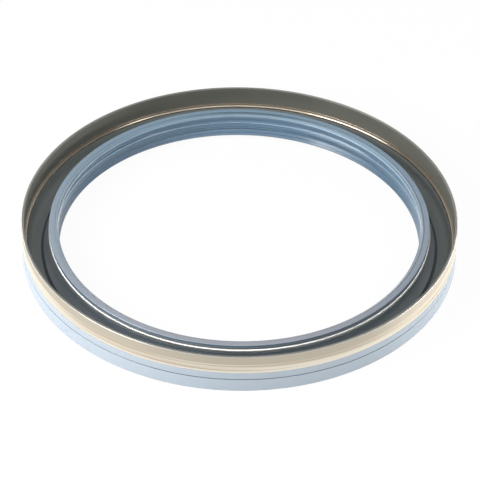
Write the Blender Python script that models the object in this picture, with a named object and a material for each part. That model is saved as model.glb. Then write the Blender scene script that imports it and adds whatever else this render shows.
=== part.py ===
"""Wheel hub oil seal for a 160 mm shaft in a 190 mm bore.

Three turned pieces on the Z axis: a stamped steel case, one rubber moulding
bonded round its lower half, and the garter spring behind the sealing lip.
The seal lies on its air side at z = 0, with the oil side and the spring up.
Run it with blender --background --python part.py, or from the text editor.
All sizes are in metres and degrees.
"""
import math

import bmesh
import bpy

# Fit of the whole seal
SHAFT_DIAMETER = 0.160
SECTION_WIDTH = 0.015          # shaft surface to hub bore
SEAL_HEIGHT = 0.0186           # resting face to rim

# Steel case
SHEET = 0.0012
BARE_BAND = 0.0085             # bare metal on the outside, from the rim down to the bend
STEP_DEPTH = 0.0014            # how far the wall below the bare band is set in
STEP_ROUND = 0.00135           # outer radius of the sheet where it turns in at the step
CORNER_RADIUS = 0.003          # inside radius between wall and flange
FLANGE_BORE_CLEARANCE = 0.004  # shaft surface to the inner end of the flange
RIM_ROUND = 0.0003

# Rubber round the case
SOLE = 0.0018                  # resting face to the flange's underside
HEEL_ROUND = 0.0006
PARTING_DROP = 0.0036          # bare band to the mould's parting groove
PARTING_WIDTH = 0.0005
PARTING_DEPTH = 0.00025
LAP_WIDTH = 0.0018             # rubber on top of the flange, from its inner end
LAP_THICKNESS = 0.001
LAP_ROUND = 0.00035
SOLE_BORE_CLEARANCE = 0.003    # shaft surface to the resting face's inner edge
SOLE_CHAMFER = 0.0008

# Sealing lip
LIP_INTERFERENCE = 0.0011      # on the radius, with the lip free
HEAD_DROP = 0.0037             # rim to the lip head's top face
LIP_DROP = 0.00125             # top face to the lip edge
LIP_LAND = 0.00015
OIL_ANGLE = 51.0               # bevel on the oil side, to the axis
AIR_ANGLE = 26.0               # bevel on the air side, to the axis
AIR_BEVEL_HEIGHT = 0.003
NIB_ROUND = 0.0004
NIB_REACH = 0.0006             # the coil's centre line to the nib's outer face, radially
MEMBRANE = 0.00175
RIB_HEIGHT = 0.0006
RIB_WIDTH = 0.0014
RIB_DROP = 0.0006              # undercut to the rib's upper foot
ROOT_FLARE = 0.0024            # height of the fillet from membrane to flange

# Dust lip
DUST_INTERFERENCE = 0.0013     # on the radius, with the lip free
DUST_LIP_HEIGHT = 0.0036       # resting face to the lip's edge
DUST_LIP_THICKNESS = 0.0011
DUST_LIP_LENGTH = 0.0028
RELIEF_RADIUS = 0.0004         # round bottom of the groove behind the dust lip
RELIEF_HEIGHT = 0.0044

# Garter spring
SPRING_DIAMETER = 0.002
SPRING_OFFSET = 0.0036         # lip edge to the coil's centre line, radially
SPRING_DROP = 0.0031           # top face to the coil's centre line
GROOVE_END = 285.0             # lower end of the groove, as an angle round the coil
GROOVE_SILL = 0.0004

GAP = 0.0003                   # bond line between rubber, steel and spring

RING_STEPS = 80                # facets round the seal
COIL_STEPS = 10
ARC_STEP = 30.0                # degrees between the points of a small arc
SHARP_ANGLE = 40.0


def arc(centre_r, centre_z, radius, start, end, step=ARC_STEP):
    """Points of a section's arc, from start to end degrees, both included."""
    count = max(2, math.ceil(abs(end - start) / step - 1e-6) + 1)
    points = []
    for index in range(count):
        angle = math.radians(start + (end - start) * index / (count - 1))
        points.append((centre_r + radius * math.cos(angle), centre_z + radius * math.sin(angle)))
    return points


def section_sizes():
    """Radii and heights that the case, the rubber and the spring share."""
    s = {}
    s["shaft_r"] = SHAFT_DIAMETER / 2
    s["case_r"] = s["shaft_r"] + SECTION_WIDTH
    s["band_r"] = s["case_r"] - SHEET
    s["wall_r"] = s["case_r"] - STEP_DEPTH
    s["wall_inner_r"] = s["wall_r"] - SHEET
    s["band_z"] = SEAL_HEIGHT - BARE_BAND
    s["step_z"] = s["band_z"] - STEP_ROUND
    s["ledge_z"] = s["step_z"] + SHEET
    s["bend"] = STEP_ROUND - SHEET
    s["shoulder"] = STEP_DEPTH - s["bend"]
    s["flange_z"] = SOLE
    s["flange_top"] = SOLE + SHEET
    s["flange_r"] = s["shaft_r"] + FLANGE_BORE_CLEARANCE
    s["lap_r"] = s["flange_r"] + LAP_WIDTH
    # The corner is as round as the wall above it and the flange beside it allow
    room_up = s["ledge_z"] - s["shoulder"] - s["flange_top"]
    room_across = s["wall_inner_r"] - s["lap_r"]
    s["corner"] = min(CORNER_RADIUS, room_up, room_across)
    s["corner_r"] = s["wall_inner_r"] - s["corner"]
    s["corner_z"] = s["flange_top"] + s["corner"]
    s["lip_r"] = s["shaft_r"] - LIP_INTERFERENCE
    s["head_z"] = SEAL_HEIGHT - HEAD_DROP
    s["spring_r"] = s["lip_r"] + SPRING_OFFSET
    s["spring_z"] = s["head_z"] - SPRING_DROP
    return s


def case_section(s):
    """Stamped sheet: rim, bare band, step with its round shoulder, lower wall, corner and flange."""
    rim_z = SEAL_HEIGHT - RIM_ROUND
    outside = arc(s["case_r"] - RIM_ROUND, rim_z, RIM_ROUND, 90, 0, 45)
    outside += arc(s["case_r"] - STEP_ROUND, s["band_z"], STEP_ROUND, 0, -90)
    outside.append((s["wall_r"], s["step_z"]))
    outside += arc(s["corner_r"], s["corner_z"], s["corner"] + SHEET, 0, -90, 22.5)
    outside.append((s["flange_r"], s["flange_z"]))
    shoulder_r = s["band_r"] - s["bend"]
    inside = [(s["flange_r"], s["flange_top"])]
    inside += arc(s["corner_r"], s["corner_z"], s["corner"], -90, 0, 22.5)
    inside += arc(shoulder_r, s["ledge_z"] - s["shoulder"], s["shoulder"], 180, 90)
    inside += arc(shoulder_r, s["ledge_z"] + s["bend"], s["bend"], -90, 0, 45)[1:]
    inside += arc(s["band_r"] + RIM_ROUND, rim_z, RIM_ROUND, 180, 90, 45)
    return outside + inside


def sleeve_section(s):
    """Outside of the rubber: parting groove, heel and resting face."""
    bond = STEP_ROUND + GAP
    top_z = s["band_z"] - math.sqrt(bond ** 2 - STEP_ROUND ** 2)
    groove_z = s["band_z"] - PARTING_DROP
    points = [(s["case_r"], top_z)]
    points.append((s["case_r"], groove_z + PARTING_WIDTH / 2))
    points.append((s["case_r"] - PARTING_DEPTH, groove_z))
    points.append((s["case_r"], groove_z - PARTING_WIDTH / 2))
    points += arc(s["case_r"] - HEEL_ROUND, HEEL_ROUND, HEEL_ROUND, 0, -90, 45)
    sole_r = s["shaft_r"] + SOLE_BORE_CLEARANCE
    points.append((sole_r, 0.0))
    points.append((sole_r - SOLE_CHAMFER, SOLE_CHAMFER))
    return points


def dust_lip_section(s, bore_r):
    """Relief groove behind the dust lip, then the lip from its tip to its root."""
    relief_r = s["shaft_r"] + SOLE_BORE_CLEARANCE - SOLE_CHAMFER - RELIEF_RADIUS
    relief_z = RELIEF_HEIGHT - RELIEF_RADIUS
    tip_r = s["shaft_r"] - DUST_INTERFERENCE
    lean = math.atan2(bore_r - tip_r, DUST_LIP_LENGTH)
    points = arc(relief_r, relief_z, RELIEF_RADIUS, 0, 180, 60)
    points.append((tip_r + DUST_LIP_THICKNESS * math.cos(lean) * 0.6,
                   DUST_LIP_HEIGHT - DUST_LIP_THICKNESS * 0.8))
    points.append((tip_r, DUST_LIP_HEIGHT))
    points.append((bore_r, DUST_LIP_HEIGHT + DUST_LIP_LENGTH))
    return points


def head_section(s, bore_r):
    """Lip head, up the bore: rib, undercut, lip edge, top face and nib."""
    lip_z = s["head_z"] - LIP_DROP
    undercut_z = lip_z - AIR_BEVEL_HEIGHT
    rib_z = undercut_z - RIB_DROP
    rib_r = bore_r - RIB_HEIGHT
    bevel_rise = LIP_DROP - LIP_LAND
    bevel_r = s["lip_r"] + bevel_rise * math.tan(math.radians(OIL_ANGLE))
    nib_r = s["spring_r"] + NIB_REACH
    nib_z = s["head_z"] - NIB_ROUND
    points = [(bore_r, rib_z - RIB_WIDTH)]
    points.append((rib_r, rib_z - RIB_WIDTH * 0.6))
    points.append((rib_r, rib_z - RIB_WIDTH * 0.4))
    points.append((bore_r, rib_z))
    points.append((bore_r, undercut_z))
    points.append((s["lip_r"], lip_z))
    points.append((s["lip_r"], lip_z + LIP_LAND))
    points.append((bevel_r, s["head_z"]))
    points += arc(nib_r - NIB_ROUND, nib_z, NIB_ROUND, 90, 0)
    return points


def spring_groove_section(s, bore_r):
    """Groove that holds the spring, and the membrane below it down to the flange."""
    groove = SPRING_DIAMETER / 2 + GAP
    membrane_r = bore_r + MEMBRANE
    nib_angle = math.degrees(math.acos(NIB_REACH / groove))
    points = arc(s["spring_r"], s["spring_z"], groove, nib_angle, GROOVE_END)
    sill_r, sill_z = points[-1]
    points.append((sill_r, sill_z - GROOVE_SILL))
    points.append((membrane_r, sill_z - GROOVE_SILL - (sill_r - membrane_r)))
    lap_z = s["flange_top"] + LAP_THICKNESS
    flare_z = lap_z + ROOT_FLARE
    points.append((membrane_r, flare_z))
    points.append((membrane_r + ROOT_FLARE * 0.2, lap_z + ROOT_FLARE * 0.55))
    points.append((membrane_r + ROOT_FLARE * 0.7, lap_z + ROOT_FLARE * 0.2))
    points += arc(s["lap_r"] - LAP_ROUND, lap_z - LAP_ROUND, LAP_ROUND, 90, 0, 45)
    return points


def bond_section(s):
    """Rubber face that wraps the steel flange and lower wall, one bond line off it."""
    outer = s["corner"] + SHEET + GAP
    top = s["flange_top"] + GAP
    under = s["flange_z"] - GAP
    step_r = s["case_r"] - STEP_ROUND
    bond = STEP_ROUND + GAP
    wall_r = s["wall_r"] + GAP
    start = -math.degrees(math.acos((wall_r - step_r) / bond))
    end = -math.degrees(math.acos(STEP_ROUND / bond))
    points = [(s["lap_r"], top), (s["flange_r"] - GAP, top), (s["flange_r"] - GAP, under)]
    points += arc(s["corner_r"], s["corner_z"], outer, -90, 0, 22.5)
    points += arc(step_r, s["band_z"], bond, start, end)[:-1]
    return points


def rubber_section(s):
    """The whole moulding, down its outside, up the bore and back round the steel."""
    bore_r = s["lip_r"] + AIR_BEVEL_HEIGHT * math.tan(math.radians(AIR_ANGLE))
    points = sleeve_section(s)
    points += dust_lip_section(s, bore_r)
    points += head_section(s, bore_r)
    points += spring_groove_section(s, bore_r)
    points += bond_section(s)
    return points


def spring_section(s):
    """Outer shape of the closed ring of coils, as a plain round."""
    points = arc(s["spring_r"], s["spring_z"], SPRING_DIAMETER / 2, 0, -360, 360 / COIL_STEPS)
    return points[:-1]


def principled(name, colour, roughness, metallic):
    """Material with one Principled shader."""
    material = bpy.data.materials.new(name)
    material.use_nodes = True
    shader = material.node_tree.nodes["Principled BSDF"]
    shader.inputs["Base Color"].default_value = (*colour, 1.0)
    shader.inputs["Roughness"].default_value = roughness
    shader.inputs["Metallic"].default_value = metallic
    material.diffuse_color = (*colour, 1.0)
    return material


def turned(name, section, material):
    """Object made by spinning a closed section once round the Z axis."""
    mesh = bpy.data.meshes.new(name)
    bm = bmesh.new()
    ring = [bm.verts.new((r, 0.0, z)) for r, z in section]
    edges = [bm.edges.new((ring[i - 1], ring[i])) for i in range(len(ring))]
    bmesh.ops.spin(bm, geom=ring + edges, cent=(0, 0, 0), axis=(0, 0, 1),
                   angle=math.tau, steps=RING_STEPS, use_merge=True)
    bmesh.ops.recalc_face_normals(bm, faces=bm.faces[:])
    bm.to_mesh(mesh)
    bm.free()
    mesh.shade_smooth()
    mesh.set_sharp_from_angle(angle=math.radians(SHARP_ANGLE))
    mesh.materials.append(material)
    piece = bpy.data.objects.new(name, mesh)
    bpy.context.scene.collection.objects.link(piece)
    return piece


def main():
    for old in list(bpy.data.objects):
        bpy.data.objects.remove(old, do_unlink=True)
    sizes = section_sizes()
    steel = principled("lacquered_steel", (0.48, 0.42, 0.32), 0.32, 1.0)
    rubber = principled("blue_rubber", (0.30, 0.42, 0.52), 0.42, 0.0)
    spring_steel = principled("spring_steel", (0.72, 0.72, 0.72), 0.22, 1.0)
    turned("steel_case", case_section(sizes), steel)
    turned("rubber_seal", rubber_section(sizes), rubber)
    turned("garter_spring", spring_section(sizes), spring_steel)


main()
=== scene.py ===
"""Looks of the wheel hub oil seal: its steel case, rubber moulding and garter spring.

The case and the moulding are turned again from their own sections in model.glb, with finer steps and
softer corners, and the spring is wound as a real coil. The file is laid out as an add-on, with one
operator for each piece and one for the stage. Lengths are in metres, and the shaft axis is Z, with the
oil side up.
"""

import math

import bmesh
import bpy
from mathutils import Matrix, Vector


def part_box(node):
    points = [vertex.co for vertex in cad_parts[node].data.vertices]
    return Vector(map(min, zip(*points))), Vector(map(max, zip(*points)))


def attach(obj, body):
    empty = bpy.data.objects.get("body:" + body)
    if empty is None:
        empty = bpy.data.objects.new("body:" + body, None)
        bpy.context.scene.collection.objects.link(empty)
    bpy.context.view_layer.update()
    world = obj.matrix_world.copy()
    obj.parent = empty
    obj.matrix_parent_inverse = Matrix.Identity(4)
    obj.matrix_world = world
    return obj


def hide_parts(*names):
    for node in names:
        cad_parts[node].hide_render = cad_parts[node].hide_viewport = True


bl_info = {
    "name": "Wheel Hub Oil Seal",
    "version": (1, 0, 0),
    "blender": (4, 5, 0),
    "location": "View3D > Sidebar > Hub Seal",
    "description": "Builds the visible pieces of a wheel hub oil seal round its packed solids",
    "category": "Object",
}

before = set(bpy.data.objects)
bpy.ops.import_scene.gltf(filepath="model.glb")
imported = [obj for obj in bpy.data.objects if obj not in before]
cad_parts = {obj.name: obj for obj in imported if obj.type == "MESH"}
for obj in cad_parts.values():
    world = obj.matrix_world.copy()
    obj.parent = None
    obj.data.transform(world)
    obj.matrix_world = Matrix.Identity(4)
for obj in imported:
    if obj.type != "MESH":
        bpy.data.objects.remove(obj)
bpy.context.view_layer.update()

BODY = "root"
MM = 0.001

# Places that the solids give
RUBBER_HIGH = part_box("rubber_seal")[1]
CASE_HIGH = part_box("steel_case")[1]
CASE_RADIUS = CASE_HIGH.x
SPRING_LOW, SPRING_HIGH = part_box("garter_spring")
COIL_DIAMETER = SPRING_HIGH.z - SPRING_LOW.z
COIL_RING_RADIUS = SPRING_HIGH.x - COIL_DIAMETER / 2
COIL_HEIGHT = (SPRING_HIGH.z + SPRING_LOW.z) / 2

# Sizes of the solids' sections
LAP_EDGE = 85.8 * MM               # radius at which the rubber lap ends on the flange
BAND_FOOT = 10.1 * MM              # height at which the bare band begins outside
BOND_LINE = 0.3 * MM               # which the solids keep open between rubber and steel
SAME_PLACE = 0.001 * MM            # points nearer than this are one
PLACE_DIGITS = 7                   # decimals of a metre that a section's points keep

# Turning
SOFT_TURN = math.radians(50.0)     # corners under this are points of an arc
CORNER_STEP = math.radians(12.0)
ARC_SHARE = 0.45                   # share of the shorter side that rounding an arc's point may take

# Sockets of the Mix node when it mixes colours
MIX_A = 6
MIX_B = 7
MIX_OUT = 2

# Finish of the case: its strips, and the sizes of its patterns
BEYOND = 1.0 * MM                  # how far a strip runs past the surface that it ends on
SKIN_DEPTH = 0.1 * MM              # of the outside, inwards
RIM_DEPTH = 0.3 * MM               # of the sheared rim, down from its top
RIM_WIDTH = 1.0 * MM
SHOULDER_DEPTH = 1.1 * MM          # of the burnished shoulder, below its height
SHOULDER_RISE = 0.2 * MM
WALL_LIGHT_WIDTH = 1.0 * MM         # of the band just above the shoulder that is painted lighter, as painted light that lifts the shade there
WALL_LIGHT_FADE = 6.0 * MM
LOWER_WALL_DROP = 1.2 * MM         # from the shoulder's height down to where the lower wall is painted lighter, as painted light that lifts its shade
FOOT_HIGHLIGHT_WIDTH = 0.6 * MM              # of the painted highlight where the bare band begins
BARE_SHARE = 0.9                   # how bare the press tool leaves the shoulder
CASE_CLOUDS = 18 * MM              # size of the lacquer's clouds
BROAD_LINES = 3                    # pitch of the broad drawing lines against the fine ones
BROAD_RUN = 1.5                    # and their run
LINE_SPREAD = 0.25                 # how far the lines' noise is from its middle at full colour

# Finish of the rubber: its strips, and the sizes of its patterns
GROOVE_HALF = 0.2 * MM             # half the parting groove's width
OUTSIDE_FADE = 2.0 * MM
HEAD_CUT = 0.1 * MM                # how far the knife's cut stays inside the head's corners
EDGE_BELOW = 0.25 * MM             # of the painted highlight on the sealing edge, below and above its height
EDGE_ABOVE = 0.2 * MM
RIB_BELOW = 0.1 * MM
RIB_ABOVE = 0.2 * MM
HEAD_WIDTH = 2.6 * MM              # from the head's outer face in to the bore
DUST_DROP = 4.4 * MM               # from the rib down to the dust lip
CHANNEL_REACH = 3.6 * MM           # of the channel side painted greyer and lighter, in from the lap's edge
CHANNEL_DROP = 0.9 * MM            # from the head's top down to the greyed side
BLOOM_SIZE = 9 * MM                # of the clouds of bloom on the rubber
BLOOM_ROUGHNESS = 0.1              # what the bloom adds to the roughness
DRY_FILM = 0.3                     # how much of the grease film is left outside

# Wire, floor, room and camera
WIRE_CLOUDS = 4 * MM               # size of the clouds in the wire's grey
CLOSE_WOUND = 1.03                 # the coil's pitch against the wire's diameter
FLOOR_GAP = 0.02 * MM              # keeps the floor and the resting face apart
WALL_LINE = 0.15                   # upward part of a view direction where the white walls begin to fade
CEILING_LINE = 0.5                 # and where the dim ceiling begins
SENSOR_WIDTH = 36.0                # of the camera, in millimetres

# Softboxes: name, place, size, the setting that holds the power, and the share of it
SOFTBOXES = (
    ("softbox_main", (-0.50, -0.30, 0.48), (0.3, 0.6), "main_power", 1.0),
    ("softbox_right", (0.52, -0.26, 0.50), (0.15, 0.4), "main_power", 1.2),
    ("softbox_left", (-0.58, -0.26, 0.42), (0.5, 0.42), "left_power", 1.0),
    ("softbox_top", (-0.05, -0.32, 0.66), (1.0, 0.14), "top_power", 1.0),
    ("softbox_front", (0.0, -0.52, 0.44), (1.0, 0.18), "fill_power", 1.0),
    ("strip_left", (-0.55, 0.20, 0.04), (0.5, 0.05), "side_power", 1.0),
    ("strip_right", (0.58, 0.09, 0.04), (0.6, 0.05), "side_power", 2.2),
    ("edge_left", (-0.42, 0.38, 0.12), (0.4, 0.05), "edge_power", 1.0),
    ("edge_right", (0.42, 0.38, 0.12), (0.4, 0.05), "edge_power", 1.0),
    ("kicker_left", (-0.40, 0.62, 0.36), (0.35, 0.3), "kicker_power", 1.0),
    ("kicker_right", (0.40, 0.62, 0.36), (0.35, 0.3), "kicker_power", 1.0),
)


def linear(hex_colour):
    """sRGB hex colour as the linear RGBA that a shader reads."""
    code = hex_colour.lstrip("#")
    channels = []
    for start in (0, 2, 4):
        value = int(code[start:start + 2], 16) / 255
        channels.append(value / 12.92 if value <= 0.04045 else ((value + 0.055) / 1.055) ** 2.4)
    return (*channels, 1.0)


def add(tree, kind, inputs=None, **settings):
    """Adds a node, sets its properties and fills its inputs with values or with other nodes' sockets."""
    made = tree.nodes.new(kind)
    for name, value in settings.items():
        setattr(made, name, value)
    for key, value in (inputs or {}).items():
        if isinstance(value, bpy.types.NodeSocket):
            tree.links.new(value, made.inputs[key])
        else:
            made.inputs[key].default_value = value
    return made


def new_material(name):
    """Material with an empty node tree, and that tree."""
    material = bpy.data.materials.new(name)
    material.use_nodes = True
    material.node_tree.nodes.clear()
    return material, material.node_tree


def finish_material(tree, shader):
    """Joins a shader to the material's output."""
    add(tree, "ShaderNodeOutputMaterial", {"Surface": shader.outputs[0]})


def ring_coordinates(tree):
    """A turned piece's point, the node that splits it, its radius, and its radius plus height."""
    point = add(tree, "ShaderNodeTexCoord").outputs["Object"]
    split = add(tree, "ShaderNodeSeparateXYZ", {0: point})
    flat = add(tree, "ShaderNodeCombineXYZ", {0: split.outputs[0], 1: split.outputs[1]})
    radius = add(tree, "ShaderNodeVectorMath", {0: flat.outputs[0]}, operation="LENGTH").outputs["Value"]
    across = add(tree, "ShaderNodeMath", {0: radius, 1: split.outputs[2]}, operation="ADD").outputs[0]
    return point, split, radius, across


def ring_lines(tree, split, across, pitch, run, detail=2.0):
    """Noise drawn out round the axis: lines of one pitch across the surface that fade after a run."""
    along_x, along_y, over = (
        add(tree, "ShaderNodeMath", {0: place, 1: 1 / length}, operation="MULTIPLY").outputs[0]
        for place, length in ((split.outputs[0], run), (split.outputs[1], run), (across, pitch))
    )
    vector = add(tree, "ShaderNodeCombineXYZ", {0: along_x, 1: along_y, 2: over}).outputs[0]
    noise = add(tree, "ShaderNodeTexNoise", {"Vector": vector, "Scale": 1.0, "Detail": detail})
    return noise.outputs[0]


def strip(tree, value, low, high, soft):
    """One where a value lies between two limits, nought beyond them, with soft edges."""
    above = add(tree, "ShaderNodeMapRange", {
        "Value": value, "From Min": low - soft, "From Max": low,
    }, interpolation_type="SMOOTHSTEP").outputs[0]
    below = add(tree, "ShaderNodeMapRange", {
        "Value": value, "From Min": high + soft, "From Max": high,
    }, interpolation_type="SMOOTHSTEP").outputs[0]
    return add(tree, "ShaderNodeMath", {0: above, 1: below}, operation="MULTIPLY").outputs[0]


def painted(tree, colour, coats):
    """Colour with coats laid over it in order, each where its own mask is one."""
    for mask, coat in coats:
        colour = add(tree, "ShaderNodeMix", {
            0: mask, MIX_A: colour, MIX_B: coat,
        }, data_type="RGBA").outputs[MIX_OUT]
    return colour


def section_of(node_name):
    """Outline of a turned CAD node in the half plane through +X, as (radius, height) points in order."""
    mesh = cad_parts[node_name].data
    places = {}
    for vertex in mesh.vertices:
        if abs(vertex.co.y) < SAME_PLACE and vertex.co.x > 0:
            places[vertex.index] = (round(vertex.co.x, PLACE_DIGITS), round(vertex.co.z, PLACE_DIGITS))
    neighbours = {}
    for edge in mesh.edges:
        a, b = edge.vertices
        if a in places and b in places and places[a] != places[b]:
            neighbours.setdefault(places[a], set()).add(places[b])
            neighbours.setdefault(places[b], set()).add(places[a])
    start = max(neighbours)
    outline = [start]
    previous, current = None, start
    while True:
        following = [p for p in neighbours[current] if p != previous]
        previous, current = current, min(following) if previous is None else following[0]
        if current == start:
            return outline
        outline.append(current)


def laid_on_steel(rubber, steel):
    """Rubber outline that lies on the steel itself where the solids keep the bond line open."""
    flange_end = min(steel)[0]
    flange_top = max(z for r, z in steel if r == flange_end)
    wrapped = steel[steel.index((flange_end, flange_top)):]
    lap_end = next(i for i, (r, z) in enumerate(rubber)
                   if r > flange_end and abs(z - flange_top - BOND_LINE) < SAME_PLACE)
    foot = (rubber[lap_end][0], flange_top)
    return wrapped[::-1] + [foot] + rubber[lap_end + 1:]


def softened(outline, rounding):
    """The outline with its arcs made smooth and its sharp corners rounded a little."""
    points = []
    count = len(outline)
    for index, place in enumerate(outline):
        corner = Vector(place)
        before = Vector(outline[index - 1]) - corner
        after = Vector(outline[(index + 1) % count]) - corner
        turn = math.pi - before.angle(after)
        cut = ARC_SHARE * min(before.length, after.length)
        if turn > SOFT_TURN:
            cut = min(cut, rounding)
        enter = corner + before.normalized() * cut
        leave = corner + after.normalized() * cut
        steps = 1 + math.ceil(turn / CORNER_STEP)
        for step in range(steps + 1):
            t = step / steps
            points.append(enter * (1 - t) ** 2 + corner * 2 * t * (1 - t) + leave * t ** 2)
    return points


def turned_piece(name, outline, steps, material):
    """Closed ring made by spinning an outline once round Z."""
    bm = bmesh.new()
    ring = [bm.verts.new((point.x, 0.0, point.y)) for point in outline]
    edges = [bm.edges.new((ring[i - 1], ring[i])) for i in range(len(ring))]
    bmesh.ops.spin(bm, geom=ring + edges, cent=(0, 0, 0), axis=(0, 0, 1),
                   angle=math.tau, steps=steps, use_merge=True)
    bmesh.ops.recalc_face_normals(bm, faces=bm.faces[:])
    return placed_piece(name, bm, material)


def mesh_object(name, bm, material):
    """Object from a finished bmesh, with one material, in the scene."""
    mesh = bpy.data.meshes.new(name)
    bm.to_mesh(mesh)
    bm.free()
    mesh.materials.append(material)
    return scene_object(name, mesh)


def scene_object(name, data):
    """Object that holds a mesh, a lamp or a camera, in the scene."""
    made = bpy.data.objects.new(name, data)
    bpy.context.scene.collection.objects.link(made)
    return made


def placed_piece(name, bm, material):
    """Smooth shaded piece from a finished bmesh, riding on the seal's body."""
    piece = mesh_object(name, bm, material)
    piece.data.shade_smooth()
    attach(piece, BODY)
    return piece


def drawn_steel(settings):
    """Deep-drawn mild steel under a thin olive bonding lacquer.

    Inside, the baked lacquer is dull and dark. The lower wall and the wall just above the shoulder are
    painted lighter, as painted light that lifts the shade falling there. The press tool has burnished the
    shoulder, so it glints. The outside is sized in a ring die: pale gold, with lines round it that spread
    its reflections upright, and duller along the lead-in at the rim, with a painted highlight where the
    bare band begins. The sheared rim is bare grey steel. A dark line runs on the flange along the rubber
    lap.
    """
    material, tree = new_material("drawn_steel_bonding_lacquer")
    point, split, radius, across = ring_coordinates(tree)
    height = split.outputs[2]
    past_skin = CASE_RADIUS + BEYOND
    shoulder_top = settings.shoulder_height
    skin = strip(tree, radius, CASE_RADIUS - SKIN_DEPTH, past_skin, soft=0.2 * MM)
    top = strip(tree, height, CASE_HIGH.z - RIM_DEPTH, CASE_HIGH.z + BEYOND, soft=0.1 * MM)
    inner_edge = strip(tree, radius, CASE_RADIUS - RIM_WIDTH, past_skin, soft=0.1 * MM)
    rim = add(tree, "ShaderNodeMath", {0: top, 1: inner_edge}, operation="MULTIPLY").outputs[0]
    outside = add(tree, "ShaderNodeMath", {0: skin, 1: rim}, operation="MAXIMUM").outputs[0]
    shoulder = strip(tree, height, shoulder_top - SHOULDER_DEPTH, shoulder_top + SHOULDER_RISE,
                     soft=0.4 * MM)
    # Painted light: the wall just above the shoulder and the lower wall are painted lighter, to lift the
    # shade that falls there.
    wall_painted_light = strip(tree, height, shoulder_top, shoulder_top + WALL_LIGHT_WIDTH, soft=WALL_LIGHT_FADE)
    lower_wall_light = strip(tree, height, 0.0, shoulder_top - LOWER_WALL_DROP, soft=0.8 * MM)
    # A dark line on the flange along the lap's edge.
    lap_line = strip(tree, radius, LAP_EDGE, LAP_EDGE + settings.lap_line, soft=0.3 * MM)
    lead_in = strip(tree, height, CASE_HIGH.z - settings.lead_in, CASE_HIGH.z, soft=0.5 * MM)
    # Painted highlight: a light line where the bare band begins, in the outside's light colour.
    foot = strip(tree, height, BAND_FOOT, BAND_FOOT + FOOT_HIGHLIGHT_WIDTH, soft=0.4 * MM)

    fine = ring_lines(tree, split, across, settings.line_pitch, settings.line_run)
    broad = ring_lines(tree, split, across, BROAD_LINES * settings.line_pitch,
                       BROAD_RUN * settings.line_run, detail=0.0)
    lines = add(tree, "ShaderNodeMath", {0: fine, 1: broad}, operation="ADD").outputs[0]
    line_share = add(tree, "ShaderNodeMapRange", {
        "Value": lines, "From Min": 1.0 - LINE_SPREAD, "From Max": 1.0 + LINE_SPREAD,
    }).outputs[0]
    clouds = add(tree, "ShaderNodeTexNoise", {
        "Vector": point, "Scale": 1 / CASE_CLOUDS, "Detail": 3.0,
    }).outputs[0]

    outer = painted(tree, linear(settings.outside_dark), (
        (line_share, linear(settings.outside_light)),
        (lead_in, linear(settings.lead_in_colour)),
        # painted highlight where the bare band begins
        (foot, linear(settings.outside_light)),
    ))
    colour = painted(tree, linear(settings.inside_dark), (
        (clouds, linear(settings.inside_light)),
        # painted light on the wall above the shoulder and on the lower wall
        (wall_painted_light, linear(settings.wall_painted_light)),
        (lower_wall_light, linear(settings.lower_wall_light)),
        (shoulder, linear(settings.shoulder_gold)),
        (lap_line, linear(settings.lap_dark)),
        (skin, outer),
        (rim, linear(settings.sheared)),
    ))

    burnished = add(tree, "ShaderNodeMath", {0: shoulder, 1: BARE_SHARE}, operation="MULTIPLY").outputs[0]
    bare = add(tree, "ShaderNodeMath", {0: outside, 1: burnished}, operation="MAXIMUM").outputs[0]
    metallic = add(tree, "ShaderNodeMapRange", {
        "Value": bare, "To Min": settings.inside_metallic, "To Max": 1.0,
    }).outputs[0]
    dull = add(tree, "ShaderNodeMapRange", {
        "Value": outside, "To Min": settings.inside_roughness, "To Max": settings.outside_roughness,
    }).outputs[0]
    roughness = add(tree, "ShaderNodeMapRange", {
        "Value": shoulder, "To Min": dull, "To Max": settings.shoulder_roughness,
    }).outputs[0]
    relief = add(tree, "ShaderNodeBump", {
        "Height": lines, "Strength": 0.5, "Distance": settings.line_depth,
    })
    tangent = add(tree, "ShaderNodeTangent", direction_type="RADIAL", axis="Z")
    shader = add(tree, "ShaderNodeBsdfPrincipled", {
        "Base Color": colour,
        "Metallic": metallic,
        "Roughness": roughness,
        "Anisotropic": 0.65,
        "Anisotropic Rotation": 0.25,
        "Tangent": tangent.outputs[0],
        "Normal": relief.outputs[0],
    })
    finish_material(tree, shader)
    return material


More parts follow.
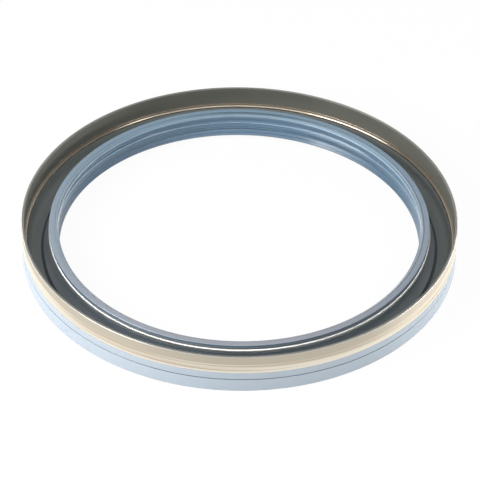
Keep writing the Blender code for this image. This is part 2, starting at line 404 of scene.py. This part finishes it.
def moulded_rubber(settings):
    """Compression-moulded blue nitrile rubber.

    The mould is turned, so the skin of the bore carries waves and lines round the ring, which draw its
    highlights out, and a fine spark-eroded grain, under the gloss of a thin film of grease. The waves are
    set several times deeper than real ones. The sealing edge and the rib below it are painted paler, as
    painted highlights. The outside is drier than the lips and painted paler, as painted light that the
    outer faces get and the bore does not. The parting groove is dark with dust. The lip head's top face is
    trimmed with a knife, and painted greyer as a painted sheen; towards +Y it is painted darker and bluer,
    as painted shade on the face's far side. The channel side is painted greyer and lighter, as painted
    light that lifts the shade there, and the dust lip is painted a greyer blue.
    """
    material, tree = new_material("moulded_blue_nitrile_rubber")
    point, split, radius, across = ring_coordinates(tree)
    height = split.outputs[2]
    parting = settings.parting_height
    lip = settings.lip_height
    rib_height = settings.rib_height
    outside = strip(tree, radius, CASE_RADIUS - BEYOND, CASE_RADIUS + BEYOND, soft=OUTSIDE_FADE)
    in_groove = strip(tree, height, parting - GROOVE_HALF, parting + GROOVE_HALF, soft=0.1 * MM)
    head_top = strip(tree, height, lip + HEAD_CUT, RUBBER_HIGH.z + BEYOND, soft=0.1 * MM)
    head = strip(tree, radius, 0.0, settings.nib_radius - HEAD_CUT, soft=0.1 * MM)
    lip_line = strip(tree, height, lip - EDGE_BELOW, lip + EDGE_ABOVE, soft=0.1 * MM)
    rib_line = strip(tree, height, rib_height - RIB_BELOW, rib_height + RIB_ABOVE, soft=0.3 * MM)
    bore = strip(tree, radius, 0.0, settings.nib_radius - HEAD_WIDTH, soft=0.2 * MM)
    below = strip(tree, height, 0.0, rib_height - DUST_DROP, soft=1.4 * MM)
    behind = strip(tree, radius, LAP_EDGE - CHANNEL_REACH, LAP_EDGE + BEYOND, soft=0.3 * MM)
    low_down = strip(tree, height, 0.0, RUBBER_HIGH.z - CHANNEL_DROP, soft=0.3 * MM)
    groove, trimmed, edge, rib, dust_lip_grey, channel = (
        add(tree, "ShaderNodeMath", {0: first, 1: second}, operation="MULTIPLY").outputs[0]
        for first, second in (
            (outside, in_groove), (head_top, head), (lip_line, head),
            (rib_line, bore), (below, bore), (behind, low_down),
        )
    )

    bloom = add(tree, "ShaderNodeTexNoise", {
        "Vector": point, "Scale": 1 / BLOOM_SIZE, "Detail": 4.0,
    }).outputs[0]
    # Painted shade: the trimmed top face is painted darker and bluer towards +Y, its far side from the
    # camera.
    far_side_shade = add(tree, "ShaderNodeMapRange", {
        "Value": split.outputs[1], "From Min": -settings.nib_radius, "From Max": settings.nib_radius,
    }).outputs[0]
    top_face_sheen_and_shade = painted(tree, linear(settings.trimmed), ((far_side_shade, linear(settings.far_side_shade_colour)),))
    colour = painted(tree, linear(settings.deep), (
        (bloom, linear(settings.bloomed)),
        # Painted light: the channel side is painted greyer and lighter, which lifts the shade there.
        (channel, linear(settings.channel)),
        (dust_lip_grey, linear(settings.dust_lip_grey)),
        # the knife-trimmed top face, painted greyer as a painted sheen, and darker towards +Y as painted
        # shade
        (trimmed, top_face_sheen_and_shade),
        # Painted highlights: paler lines on the sealing edge and on the rib below it.
        (edge, linear(settings.burnished)),
        (rib, linear(settings.rib_colour)),
        # Painted light: the outside is painted paler, as the light that the outer faces get and the bore does
        # not.
        (outside, linear(settings.outside)),
        (groove, linear(settings.groove)),
    ))

    dry = add(tree, "ShaderNodeMath", {0: outside, 1: trimmed}, operation="MAXIMUM").outputs[0]
    film = add(tree, "ShaderNodeMapRange", {"Value": outside, "To Min": 1.0, "To Max": DRY_FILM}).outputs[0]
    base_roughness = add(tree, "ShaderNodeMapRange", {
        "Value": dry, "To Min": settings.roughness, "To Max": settings.dry_roughness,
    }).outputs[0]
    roughness = add(tree, "ShaderNodeMath", {
        0: bloom, 1: BLOOM_ROUGHNESS, 2: base_roughness,
    }, operation="MULTIPLY_ADD").outputs[0]

    grain = add(tree, "ShaderNodeTexNoise", {
        "Vector": point, "Scale": 1 / settings.grain_size, "Detail": 2.0,
    }).outputs[0]
    lines = ring_lines(tree, split, across, settings.line_pitch, settings.line_run)
    waves = ring_lines(tree, split, across, settings.wave_pitch, settings.line_run, detail=1.0)
    line_depth = add(tree, "ShaderNodeMath", {
        0: bore, 1: settings.line_depth,
    }, operation="MULTIPLY").outputs[0]
    turned = add(tree, "ShaderNodeMath", {
        0: waves, 1: settings.wave_share, 2: lines,
    }, operation="MULTIPLY_ADD").outputs[0]
    line_relief = add(tree, "ShaderNodeMath", {0: turned, 1: line_depth}, operation="MULTIPLY").outputs[0]
    relief_height = add(tree, "ShaderNodeMath", {
        0: grain, 1: settings.grain_depth, 2: line_relief,
    }, operation="MULTIPLY_ADD").outputs[0]
    relief = add(tree, "ShaderNodeBump", {"Height": relief_height, "Strength": 1.0, "Distance": 1.0})
    tangent = add(tree, "ShaderNodeTangent", direction_type="RADIAL", axis="Z")
    shader = add(tree, "ShaderNodeBsdfPrincipled", {
        "Base Color": colour,
        "Roughness": roughness,
        "IOR": 1.52,
        "Coat Weight": film,
        "Coat Roughness": 0.2,
        "Anisotropic": 0.8,
        "Anisotropic Rotation": 0.25,
        "Tangent": tangent.outputs[0],
        "Normal": relief.outputs[0],
    })
    finish_material(tree, shader)
    return material


def drawn_wire(settings):
    """Bright carbon spring wire, drawn through a die: a clean, cool grey metal with a tight highlight."""
    material, tree = new_material("bright_drawn_spring_wire")
    point = add(tree, "ShaderNodeTexCoord").outputs["Object"]
    clouds = add(tree, "ShaderNodeTexNoise", {
        "Vector": point, "Scale": 1 / WIRE_CLOUDS, "Detail": 2.0,
    }).outputs[0]
    colour = painted(tree, linear(settings.wire_dark), ((clouds, linear(settings.wire_light)),))
    shader = add(tree, "ShaderNodeBsdfPrincipled", {
        "Base Color": colour,
        "Metallic": 1.0,
        "Roughness": 0.45,
    })
    finish_material(tree, shader)
    return material


def paper_floor(settings):
    """Matt white paper sweep: an even white surface that keeps a soft shadow of the seal."""
    material, tree = new_material("matt_white_paper")
    seen = rays_that_see(tree)
    share = add(tree, "ShaderNodeMath", {0: seen, 1: settings.floor_glow}, operation="MULTIPLY").outputs[0]
    lit = add(tree, "ShaderNodeBsdfDiffuse", {"Color": linear(settings.floor_colour)})
    white = add(tree, "ShaderNodeEmission", {"Color": linear("#ffffff"), "Strength": 1.0})
    shader = add(tree, "ShaderNodeMixShader", {0: share, 1: lit.outputs[0], 2: white.outputs[0]})
    finish_material(tree, shader)
    return material


def rays_that_see(tree):
    """One for the rays that show the background: camera, glossy and transmission rays."""
    path = add(tree, "ShaderNodeLightPath")
    seen = path.outputs["Is Camera Ray"]
    for kind in ("Is Glossy Ray", "Is Transmission Ray"):
        seen = add(tree, "ShaderNodeMath", {0: seen, 1: path.outputs[kind]}, operation="MAXIMUM").outputs[0]
    return seen


def closed_coil(wire, coil, ring_radius, height, points_per_turn, sides):
    """Close-wound helix of wire bent into a ring, as one closed tube, in a bmesh."""
    turns = round(math.tau * ring_radius / (wire * CLOSE_WOUND))
    count = turns * points_per_turn
    reach = (coil - wire) / 2
    path = []
    for index in range(count):
        around = math.tau * index / count
        twist = math.tau * index / points_per_turn
        radius = ring_radius + reach * math.cos(twist)
        path.append(Vector((radius * math.cos(around), radius * math.sin(around),
                            height + reach * math.sin(twist))))
    bm = bmesh.new()
    loops = []
    for index in range(count):
        along = (path[(index + 1) % count] - path[index - 1]).normalized()
        around = math.tau * index / count
        centre = Vector((ring_radius * math.cos(around), ring_radius * math.sin(around), height))
        outward = path[index] - centre
        outward = (outward - along * outward.dot(along)).normalized()
        side = along.cross(outward)
        loop = []
        for corner in range(sides):
            angle = math.tau * corner / sides
            offset = outward * math.cos(angle) + side * math.sin(angle)
            loop.append(bm.verts.new(path[index] + offset * wire / 2))
        loops.append(loop)
    for index in range(count):
        here, after = loops[index - 1], loops[index]
        for corner in range(sides):
            other = (corner + 1) % sides
            bm.faces.new((here[corner], here[other], after[other], after[corner]))
    bmesh.ops.recalc_face_normals(bm, faces=bm.faces[:])
    return bm


class HubSealCase(bpy.types.PropertyGroup):
    steps: bpy.props.IntProperty(name="Steps", description="Facets round the case", default=360, min=48)
    rounding: bpy.props.FloatProperty(
        name="Rounding", description="How far sharp corners are cut back", default=0.0003, unit="LENGTH")
    line_pitch: bpy.props.FloatProperty(
        name="Line pitch", description="Spacing of the drawing lines; the real 0.1 mm would not show",
        default=0.0005, unit="LENGTH")
    line_run: bpy.props.FloatProperty(
        name="Line run", description="How far a drawing line runs before it fades",
        default=0.06, unit="LENGTH")
    line_depth: bpy.props.FloatProperty(
        name="Line depth", description="Depth of the drawing lines", default=0.00002, unit="LENGTH")
    inside_dark: bpy.props.StringProperty(name="Inside dark", description="sRGB hex", default="#52524b")
    inside_light: bpy.props.StringProperty(name="Inside light", description="sRGB hex", default="#64645d")
    # Painted light: lighter colours for the wall above the shoulder and for the lower wall, which lift their
    # shade.
    wall_painted_light: bpy.props.StringProperty(name="Stretched wall", description="sRGB hex", default="#65655e")
    lower_wall_light: bpy.props.StringProperty(name="Lower wall", description="sRGB hex", default="#8b9190")
    shoulder_gold: bpy.props.StringProperty(name="Shoulder", description="sRGB hex", default="#b0a595")
    # Colour of the dark line on the flange along the lap's edge.
    lap_dark: bpy.props.StringProperty(name="Adhesive", description="sRGB hex", default="#4e5660")
    outside_dark: bpy.props.StringProperty(name="Outside dark", description="sRGB hex", default="#b9ad98")
    outside_light: bpy.props.StringProperty(name="Outside light", description="sRGB hex", default="#e6decf")
    lead_in_colour: bpy.props.StringProperty(name="Lead-in", description="sRGB hex", default="#bdb4a4")
    sheared: bpy.props.StringProperty(name="Sheared rim", description="sRGB hex", default="#b4b2ac")
    lead_in: bpy.props.FloatProperty(
        name="Lead-in", description="Width of the duller strip below the rim",
        default=0.0039, unit="LENGTH")
    shoulder_height: bpy.props.FloatProperty(
        name="Shoulder height", description="Height of the burnished shoulder",
        default=0.00995, unit="LENGTH")
    # Width of the dark line on the flange along the lap's edge.
    lap_line: bpy.props.FloatProperty(
        name="Bleed", description="Width of the adhesive line beside the lap",
        default=0.0009, unit="LENGTH")
    inside_metallic: bpy.props.FloatProperty(
        name="Inside metallic", description="How much metal shows through the lacquer", default=0.25)
    inside_roughness: bpy.props.FloatProperty(
        name="Inside roughness", description="Roughness of the lacquered inside", default=0.42)
    shoulder_roughness: bpy.props.FloatProperty(
        name="Shoulder roughness", description="Roughness of the burnished shoulder", default=0.24)
    outside_roughness: bpy.props.FloatProperty(
        name="Outside roughness", description="Roughness of the ironed outside", default=0.42)


class HubSealRubber(bpy.types.PropertyGroup):
    steps: bpy.props.IntProperty(name="Steps", description="Facets round the moulding", default=300, min=48)
    rounding: bpy.props.FloatProperty(
        name="Rounding", description="How far sharp corners are cut back",
        default=0.00022, unit="LENGTH")
    line_pitch: bpy.props.FloatProperty(
        name="Line pitch", description="Spacing of the lines left by the turned mould",
        default=0.0006, unit="LENGTH")
    line_run: bpy.props.FloatProperty(
        name="Line run", description="How far a mould line runs before it fades", default=0.12, unit="LENGTH")
    line_depth: bpy.props.FloatProperty(
        name="Line depth", description="Depth of the mould lines in the bore",
        default=0.00012, unit="LENGTH")
    wave_pitch: bpy.props.FloatProperty(
        name="Wave pitch", description="Spacing of the turned waves in the bore",
        default=0.0016, unit="LENGTH")
    wave_share: bpy.props.FloatProperty(
        name="Wave share", description="Depth of the waves against the lines; real waves are shallower",
        default=24.0)
    grain_size: bpy.props.FloatProperty(
        name="Grain size", description="Size of the spark-eroded grain; the real 0.05 mm would not show",
        default=0.0004, unit="LENGTH")
    grain_depth: bpy.props.FloatProperty(
        name="Grain depth", description="Depth of the grain", default=0.000006, unit="LENGTH")
    lip_height: bpy.props.FloatProperty(
        name="Lip height", description="Height of the sealing edge", default=0.01365, unit="LENGTH")
    nib_radius: bpy.props.FloatProperty(
        name="Nib radius", description="Radius of the lip head's outer face",
        default=0.0831, unit="LENGTH")
    rib_height: bpy.props.FloatProperty(
        name="Rib height", description="Height of the rib below the lip", default=0.0093, unit="LENGTH")
    parting_height: bpy.props.FloatProperty(
        name="Parting height", description="Height of the mould's parting groove",
        default=0.0065, unit="LENGTH")
    deep: bpy.props.StringProperty(name="Deep", description="sRGB hex", default="#385a73")
    bloomed: bpy.props.StringProperty(name="Bloomed", description="sRGB hex", default="#47677e")
    # Colour of the channel side, painted lighter as painted light against its shade.
    channel: bpy.props.StringProperty(name="Channel side", description="sRGB hex", default="#737b81")
    dust_lip_grey: bpy.props.StringProperty(name="Dust lip", description="sRGB hex", default="#4c667c")
    # Knife-trimmed top face, painted greyer as a painted sheen of the sky.
    trimmed: bpy.props.StringProperty(name="Trimmed face", description="sRGB hex", default="#82868f")
    # Colour of the painted shade on the top face's far side, towards +Y.
    far_side_shade_colour: bpy.props.StringProperty(
        name="Greasy face", description="sRGB hex of the trimmed face under grease", default="#6c8597")
    # Colours of the painted highlights on the sealing edge and on the rib.
    burnished: bpy.props.StringProperty(name="Burnished edge", description="sRGB hex", default="#8fabc0")
    rib_colour: bpy.props.StringProperty(name="Rib", description="sRGB hex", default="#7c99b0")
    # Colour of the outside, painted paler as painted light on the outer faces.
    outside: bpy.props.StringProperty(name="Outside", description="sRGB hex", default="#99a4ae")
    groove: bpy.props.StringProperty(name="Parting groove", description="sRGB hex", default="#55616c")
    roughness: bpy.props.FloatProperty(
        name="Roughness", description="Roughness of the glossy skin", default=0.33)
    dry_roughness: bpy.props.FloatProperty(
        name="Dry roughness", description="Roughness of the outside and the trimmed face", default=0.4)


class HubSealSpring(bpy.types.PropertyGroup):
    wire: bpy.props.FloatProperty(name="Wire", description="Wire diameter", default=0.00045, unit="LENGTH")
    points_per_turn: bpy.props.IntProperty(
        name="Points a turn", description="Points along each turn of wire", default=12, min=6)
    sides: bpy.props.IntProperty(name="Sides", description="Facets round the wire", default=6, min=4)
    wire_dark: bpy.props.StringProperty(name="Wire dark", description="sRGB hex", default="#e2e3e2")
    wire_light: bpy.props.StringProperty(name="Wire light", description="sRGB hex", default="#fafaf8")


class HubSealStage(bpy.types.PropertyGroup):
    floor_colour: bpy.props.StringProperty(name="Floor", description="sRGB hex", default="#e0e0e0")
    floor_glow: bpy.props.FloatProperty(
        name="Floor white", description="Share of plain white that the camera sees in the floor",
        default=0.95)
    floor_size: bpy.props.FloatProperty(
        name="Floor size", description="Side of the floor", default=6.0, unit="LENGTH")
    world_strength: bpy.props.FloatProperty(
        name="Room light", description="Strength of the room's light", default=0.3)
    ceiling: bpy.props.FloatProperty(
        name="Ceiling", description="Brightness of the ceiling against the white walls", default=0.3)
    main_power: bpy.props.FloatProperty(
        name="Main power", description="Power of the main softbox, in watts", default=0.8)
    left_power: bpy.props.FloatProperty(
        name="Left power", description="Power of the bright softbox on the left, in watts", default=6.2)
    top_power: bpy.props.FloatProperty(
        name="Top power", description="Power of the wide softbox above, in watts", default=0.9)
    fill_power: bpy.props.FloatProperty(
        name="Fill power", description="Power of the softbox in front, in watts", default=1.9)
    side_power: bpy.props.FloatProperty(
        name="Side power", description="Power of the low strip on the left, in watts", default=1.4)
    edge_power: bpy.props.FloatProperty(
        name="Edge power", description="Power of each raised strip behind the seal, in watts", default=0.4)
    kicker_power: bpy.props.FloatProperty(
        name="Kicker power", description="Power of each softbox behind the seal, in watts", default=0.15)
    camera_distance: bpy.props.FloatProperty(
        name="Camera distance", description="From the aim point", default=1.4, unit="LENGTH")
    camera_elevation: bpy.props.FloatProperty(
        name="Camera elevation", description="Above the horizon",
        default=math.radians(38.68), subtype="ANGLE")
    camera_roll: bpy.props.FloatProperty(
        name="Camera roll", description="Turn about the line of sight",
        default=math.radians(0.75), subtype="ANGLE")
    camera_lens: bpy.props.FloatProperty(
        name="Lens", description="Focal length in millimetres", default=239.5)
    aim: bpy.props.FloatVectorProperty(
        name="Aim", description="Point that the camera looks at",
        default=(0.0003, 0.0, 0.0047), subtype="TRANSLATION")


class HUBSEAL_OT_case(bpy.types.Operator):
    """Turns the stamped steel case again with smooth corners and gives it its finish"""
    bl_idname = "hub_seal.case"
    bl_label = "Steel Case"

    def execute(self, context):
        settings = context.scene.hub_seal_case
        outline = softened(section_of("steel_case"), settings.rounding)
        case = turned_piece("stamped_case", outline, settings.steps, drawn_steel(settings))
        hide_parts("steel_case")
        return {"FINISHED"}


class HUBSEAL_OT_rubber(bpy.types.Operator):
    """Turns the rubber moulding again with soft edges and gives it its finish"""
    bl_idname = "hub_seal.rubber"
    bl_label = "Rubber Moulding"

    def execute(self, context):
        settings = context.scene.hub_seal_rubber
        bonded = laid_on_steel(section_of("rubber_seal"), section_of("steel_case"))
        outline = softened(bonded, settings.rounding)
        rubber = turned_piece("rubber_moulding", outline, settings.steps, moulded_rubber(settings))
        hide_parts("rubber_seal")
        return {"FINISHED"}


class HUBSEAL_OT_spring(bpy.types.Operator):
    """Winds the garter spring behind the sealing lip"""
    bl_idname = "hub_seal.spring"
    bl_label = "Garter Spring"

    def execute(self, context):
        settings = context.scene.hub_seal_spring
        coil = closed_coil(settings.wire, COIL_DIAMETER, COIL_RING_RADIUS, COIL_HEIGHT,
                           settings.points_per_turn, settings.sides)
        spring = placed_piece("wound_spring", coil, drawn_wire(settings))
        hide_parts("garter_spring")
        return {"FINISHED"}


class HUBSEAL_OT_stage(bpy.types.Operator):
    """Sets the paper floor, the softboxes, the room light and the camera"""
    bl_idname = "hub_seal.stage"
    bl_label = "Stage"

    def execute(self, context):
        settings = context.scene.hub_seal_stage
        self.floor(settings)
        for name, place, size, power, share in SOFTBOXES:
            self.softbox(name, place, size, share * getattr(settings, power))
        self.room(context, settings)
        self.camera(context, settings)
        context.scene.view_settings.view_transform = "Standard"
        return {"FINISHED"}

    def floor(self, settings):
        bm = bmesh.new()
        bmesh.ops.create_grid(bm, x_segments=1, y_segments=1, size=settings.floor_size / 2)
        floor = mesh_object("paper_floor", bm, paper_floor(settings))
        floor.location.z = -FLOOR_GAP

    def softbox(self, name, place, size, power):
        lamp = bpy.data.lights.new(name, "AREA")
        lamp.shape = "RECTANGLE"
        lamp.size, lamp.size_y = size
        lamp.energy = power
        box = scene_object(name, lamp)
        box.location = place
        box.rotation_euler = (-Vector(place)).to_track_quat("-Z", "Y").to_euler()
        box.visible_camera = False

    def room(self, context, settings):
        world = bpy.data.worlds.new("white_room")
        world.use_nodes = True
        tree = world.node_tree
        tree.nodes.clear()
        towards = add(tree, "ShaderNodeTexCoord").outputs["Generated"]
        upward = add(tree, "ShaderNodeSeparateXYZ", {0: towards}).outputs[2]
        backdrop = add(tree, "ShaderNodeMapRange", {
            "Value": upward, "From Min": WALL_LINE, "From Max": CEILING_LINE,
            "To Min": 1.0, "To Max": settings.ceiling,
        }).outputs[0]
        strength = add(tree, "ShaderNodeMapRange", {
            "Value": rays_that_see(tree), "To Min": settings.world_strength, "To Max": backdrop,
        }).outputs[0]
        light = add(tree, "ShaderNodeBackground", {"Color": linear("#ffffff"), "Strength": strength})
        add(tree, "ShaderNodeOutputWorld", {"Surface": light.outputs[0]})
        context.scene.world = world

    def camera(self, context, settings):
        lens = bpy.data.cameras.new("camera")
        lens.sensor_width = SENSOR_WIDTH
        lens.lens = settings.camera_lens
        camera = scene_object("camera", lens)
        aim = Vector(settings.aim)
        back = Vector((0.0, -math.cos(settings.camera_elevation), math.sin(settings.camera_elevation)))
        camera.location = aim + back * settings.camera_distance
        camera.rotation_euler = back.to_track_quat("Z", "Y").to_euler()
        camera.rotation_euler.rotate_axis("Z", settings.camera_roll)
        context.scene.camera = camera


class HUBSEAL_PT_panel(bpy.types.Panel):
    """Lists the pieces of the seal and the stage"""
    bl_label = "Hub Seal"
    bl_idname = "HUBSEAL_PT_panel"
    bl_space_type = "VIEW_3D"
    bl_region_type = "UI"
    bl_category = "Hub Seal"

    def draw(self, context):
        for operator in OPERATORS:
            self.layout.operator(operator.bl_idname)


SETTINGS = {
    "hub_seal_case": HubSealCase,
    "hub_seal_rubber": HubSealRubber,
    "hub_seal_spring": HubSealSpring,
    "hub_seal_stage": HubSealStage,
}
OPERATORS = (HUBSEAL_OT_case, HUBSEAL_OT_rubber, HUBSEAL_OT_spring, HUBSEAL_OT_stage)


def register():
    for group in SETTINGS.values():
        bpy.utils.register_class(group)
    for name, group in SETTINGS.items():
        setattr(bpy.types.Scene, name, bpy.props.PointerProperty(type=group))
    for operator in OPERATORS:
        bpy.utils.register_class(operator)
    bpy.utils.register_class(HUBSEAL_PT_panel)


def unregister():
    bpy.utils.unregister_class(HUBSEAL_PT_panel)
    for operator in reversed(OPERATORS):
        bpy.utils.unregister_class(operator)
    for name, group in SETTINGS.items():
        delattr(bpy.types.Scene, name)
        bpy.utils.unregister_class(group)


def main():
    """Builds every piece and the stage."""
    register()
    bpy.ops.hub_seal.case()
    bpy.ops.hub_seal.rubber()
    bpy.ops.hub_seal.spring()
    bpy.ops.hub_seal.stage()


if __name__ == "__main__":
    main()
